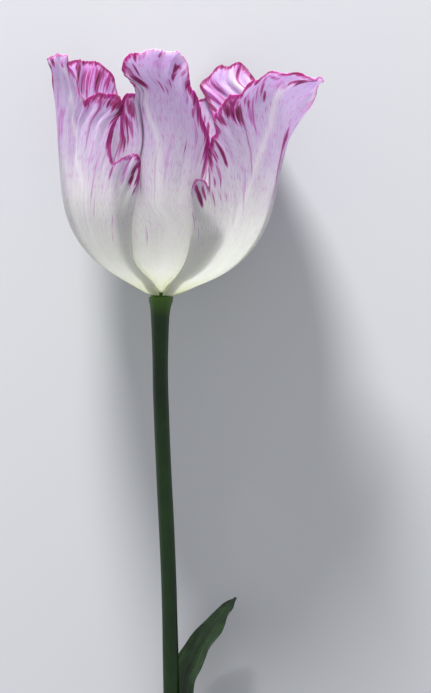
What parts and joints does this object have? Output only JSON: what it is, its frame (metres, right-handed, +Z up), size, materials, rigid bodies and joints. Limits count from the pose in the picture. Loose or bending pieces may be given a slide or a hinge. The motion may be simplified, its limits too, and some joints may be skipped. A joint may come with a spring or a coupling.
{
  "type": "cut tulip flower",
  "caption": "Single cut tulip lying down: open cup of waved, feathered petals on a long stem with a clasping leaf.",
  "frame": {"origin": "centre of the flower's footprint, on the surface that it lies on", "axes": "+Y along the flower towards the bloom's mouth, +Z up from the surface"},
  "size_m": [0.088, 0.3467, 0.0859],
  "materials": {
    "petal": "satin petal skin, white to lavender with magenta feathering, cream at the foot",
    "stem": "smooth dark green plant skin with a faint waxy bloom",
    "leaf": "satin dark green leaf with lengthwise veins",
    "pistil": "matte yellow-green",
    "filament": "matte cream",
    "anther": "powdery dark purple"
  },
  "bodies": {
    "root": {"stem": "stem", "leaf": "leaf", "tepal_outer_left": "petal", "tepal_outer_right": "petal", "tepal_outer_back": "petal", "tepal_inner_front": "petal", "tepal_inner_left": "petal", "tepal_inner_right": "petal", "pistil": "pistil", "filament_1": "filament", "filament_2": "filament", "filament_3": "filament", "filament_4": "filament", "filament_5": "filament", "filament_6": "filament", "anther_1": "anther", "anther_2": "anther", "anther_3": "anther", "anther_4": "anther", "anther_5": "anther", "anther_6": "anther"}
  },
  "joints": []
}
